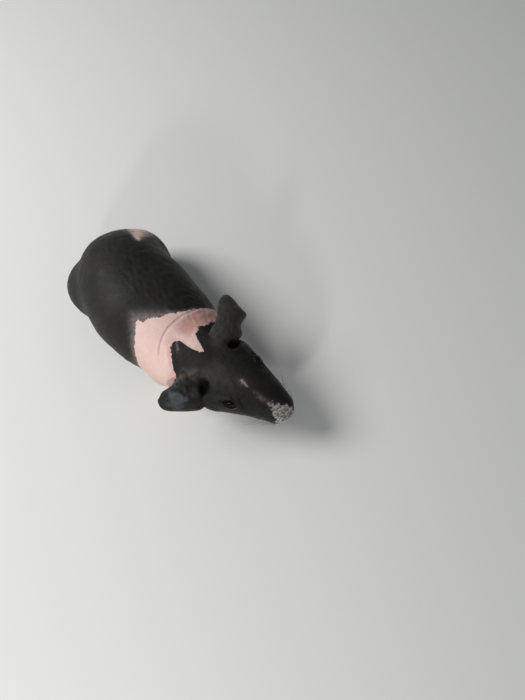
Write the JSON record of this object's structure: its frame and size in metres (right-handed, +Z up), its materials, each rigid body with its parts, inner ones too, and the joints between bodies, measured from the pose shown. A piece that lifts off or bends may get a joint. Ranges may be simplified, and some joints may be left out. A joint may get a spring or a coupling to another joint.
{
  "type": "hairless guinea pig model",
  "caption": "Still life-size hairless guinea pig standing on all four feet, bunched up, its head low and turned to its left, its ears spread.",
  "frame": {"origin": "on the floor under the middle of the animal's bounding box", "axes": "the animal faces -Y, so +Y runs along its back toward the tail, +X is its left side and +Z is up"},
  "size_m": [0.0952, 0.2196, 0.0803],
  "materials": {
    "skin_dark": "satin",
    "skin_pink": "satin",
    "eyeballs": "gloss",
    "claws_dark": "satin",
    "claws_pale": "satin"
  },
  "bodies": {
    "root": {"claw_front_left_1": "claws_pale", "claw_front_left_2": "claws_pale", "claw_front_left_3": "claws_pale", "claw_front_left_4": "claws_pale", "claw_front_right_1": "claws_pale", "claw_front_right_2": "claws_pale", "claw_front_right_3": "claws_pale", "claw_front_right_4": "claws_pale", "claw_hind_left_1": "claws_dark", "claw_hind_left_2": "claws_dark", "claw_hind_left_3": "claws_dark", "claw_hind_right_1": "claws_dark", "claw_hind_right_2": "claws_dark", "claw_hind_right_3": "claws_dark", "ear_left": "skin_dark", "ear_right": "skin_dark", "eye_left": "eyeballs", "eye_right": "eyeballs", "foot_front_left": "skin_pink", "foot_front_right": "skin_pink", "foot_hind_left": "skin_dark", "foot_hind_right": "skin_dark", "head": "skin_dark", "leg_front_left": "skin_pink", "leg_front_right": "skin_pink", "leg_hind_left": "skin_dark", "leg_hind_right": "skin_dark", "neck": "skin_pink", "torso_front": "skin_pink", "torso_rear": "skin_dark"}
  },
  "joints": []
}
